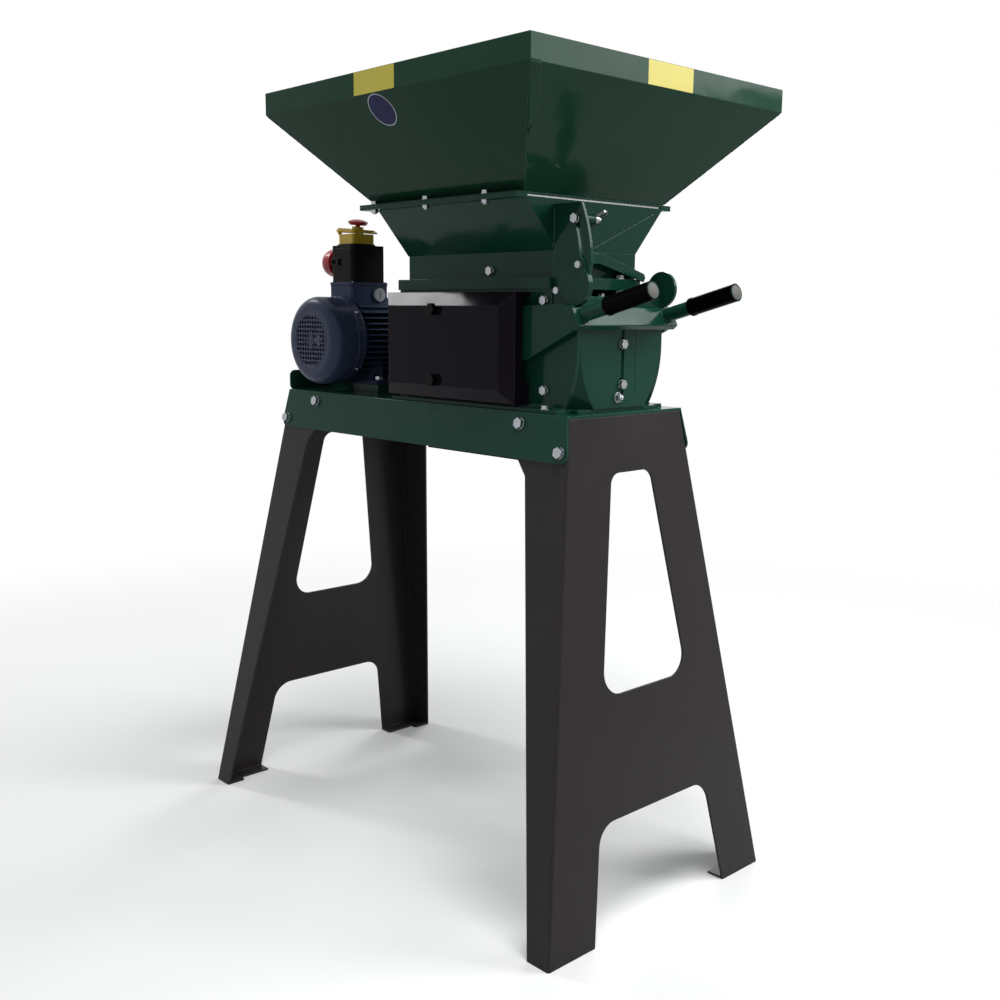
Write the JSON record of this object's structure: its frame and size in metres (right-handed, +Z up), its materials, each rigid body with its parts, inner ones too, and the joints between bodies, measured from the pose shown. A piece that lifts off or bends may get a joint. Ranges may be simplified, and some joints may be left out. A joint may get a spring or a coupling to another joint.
{
  "type": "grain flaker",
  "caption": "Motor-driven grain flaker: square feed hopper over a pair of geared rollers, belt drive, setting lever with two grips, on folded sheet legs.",
  "frame": {"origin": "on the floor, midway between the two legs and midway between the front and rear feet", "axes": "+X to the end with the lever grips, +Y to the back (belt side), +Z up"},
  "size_m": [1.069, 0.623, 1.4256],
  "materials": {
    "leg_paint": "textured anthracite powder coat, satin",
    "green_paint": "dark green gloss paint with fine orange peel",
    "hopper_paint": "dark green gloss paint",
    "spout_paint": "dark green paint",
    "motor_paint": "dark blue-grey satin paint on a ribbed casting",
    "cover_paint": "blue-grey satin paint on pressed sheet",
    "black_gloss": "black gloss paint",
    "black_plastic": "black moulded plastic",
    "grey_plastic": "light grey moulded plastic",
    "yellow_plastic": "yellow moulded plastic",
    "red_plastic": "red moulded plastic",
    "green_plastic": "green moulded plastic",
    "zinc": "bright zinc plating",
    "machined_steel": "ground and turned steel",
    "cast_parts": "machined cast iron",
    "belt_rubber": "black rubber with a cloth cover",
    "grip_rubber": "black soft vinyl"
  },
  "bodies": {
    "frame": {"leg_frame_right": "leg_paint", "leg_frame_left": "leg_paint", "leg_bolts": "zinc", "base_pan": "green_paint", "outlet_spout": "spout_paint", "motor_rails": "green_paint", "motor_frame": "motor_paint", "end_shields": "motor_paint", "motor_foot_bolts": "zinc", "fan_cover": "cover_paint", "terminal_box": "motor_paint", "terminal_plug": "grey_plastic", "switch_box": "black_plastic", "stop_housing": "yellow_plastic", "side_plate_front": "green_paint", "side_plate_rear": "green_paint", "housing_end": "green_paint", "housing_left_wall": "green_paint", "housing_top": "green_paint", "housing_bolts": "zinc", "end_bolts": "zinc", "bearings_fixed": "cast_parts", "gear_guard": "black_gloss", "drive_belt": "belt_rubber", "belt_guard": "black_gloss", "scrapers": "machined_steel", "feed_rail": "green_paint", "feed_neck": "green_paint", "feed_funnel": "green_paint", "feed_chute": "machined_steel", "quadrant_plate": "green_paint", "rear_lobe": "green_paint", "hopper": "hopper_paint", "flange_bolts": "zinc"},
    "drive_roller": {"roller_fixed": "machined_steel", "gear_fixed": "machined_steel", "driven_pulley": "cast_parts"},
    "carriage": {"block_front": "cast_parts", "block_rear": "cast_parts"},
    "adjusted_roller": {"roller_moving": "machined_steel", "gear_moving": "machined_steel"},
    "lever": {"lever_yoke": "green_paint", "grip_front": "grip_rubber", "grip_rear": "grip_rubber"},
    "motor_shaft": {"motor_rotor": "machined_steel", "cooling_fan": "black_plastic", "motor_pulley": "cast_parts"},
    "flap": {"feed_flap": "machined_steel", "clamp_bolt": "zinc"},
    "wing": {"wing_nut": "zinc"},
    "gate": {"slide_gate": "machined_steel"},
    "lid": {"stop_lid": "yellow_plastic"},
    "stop_head": {"mushroom": "red_plastic"},
    "start": {"start_key": "green_plastic"},
    "stop": {"stop_key": "red_plastic"},
    "cap": {"inlet_cap": "red_plastic"},
    "knob_a": {"knob_upper": "black_plastic"},
    "knob_b": {"knob_lower": "black_plastic"}
  },
  "joints": [
    {"name": "roller_turn", "type": "hinge", "parent": "frame", "child": "drive_roller", "pos_m": [0.032, 0, 0.978], "axis": [0, 1, 0], "continuous": true},
    {"name": "motor_turn", "type": "hinge", "parent": "frame", "child": "motor_shaft", "pos_m": [-0.298, 0, 0.975], "axis": [0, 1, 0], "continuous": true},
    {"name": "carriage_slide", "type": "slide", "parent": "frame", "child": "carriage", "axis": [1, 0, 0], "range_m": [0, 0.003]},
    {"name": "second_roller_turn", "type": "hinge", "parent": "carriage", "child": "adjusted_roller", "pos_m": [0.176, 0, 0.978], "axis": [0, 1, 0], "continuous": true},
    {"name": "lever_swing", "type": "hinge", "parent": "carriage", "child": "lever", "pos_m": [0.176, 0, 0.978], "axis": [0, 1, 0], "range_deg": [0, 12]},
    {"name": "flap_swing", "type": "hinge", "parent": "frame", "child": "flap", "pos_m": [0.172, 0, 1.107], "axis": [0, 1, 0], "range_deg": [0, 14]},
    {"name": "wing_turn", "type": "hinge", "parent": "flap", "child": "wing", "pos_m": [0.3801, 0, 1.18688], "axis": [0, 1, 0], "continuous": true},
    {"name": "gate_slide", "type": "slide", "parent": "frame", "child": "gate", "axis": [-1, 0, 0], "range_m": [0, 0.125]},
    {"name": "lid_swing", "type": "hinge", "parent": "frame", "child": "lid", "pos_m": [-0.3215, 0, 1.198], "axis": [0, -1, 0], "range_deg": [0, 95]},
    {"name": "stop_press", "type": "slide", "parent": "lid", "child": "stop_head", "axis": [-0.1045, 0, -0.9945], "range_m": [0, 0.0025], "stiffness_N_per_m": 600},
    {"name": "start_key_press", "type": "slide", "parent": "frame", "child": "start", "axis": [0, 0, -1], "range_m": [0, 0.0025], "stiffness_N_per_m": 600},
    {"name": "stop_key_press", "type": "slide", "parent": "frame", "child": "stop", "axis": [0, 0, -1], "range_m": [0, 0.0025], "stiffness_N_per_m": 600},
    {"name": "cap_swing", "type": "hinge", "parent": "frame", "child": "cap", "pos_m": [-0.356, 0, 1.167], "axis": [0, 1, 0], "range_deg": [0, 110]},
    {"name": "knob_upper_turn", "type": "hinge", "parent": "frame", "child": "knob_a", "pos_m": [0.087, 0, 1.04], "axis": [0, 1, 0], "continuous": true},
    {"name": "knob_lower_turn", "type": "hinge", "parent": "frame", "child": "knob_b", "pos_m": [0.087, 0, 0.914], "axis": [0, 1, 0], "continuous": true}
  ],
  "couplings": [
    {"joint": "motor_turn", "follows": "roller_turn", "ratio": 2.25},
    {"joint": "second_roller_turn", "follows": "roller_turn", "ratio": -1},
    {"joint": "carriage_slide", "follows": "lever_swing", "m_per_rad": 0.014324}
  ]
}
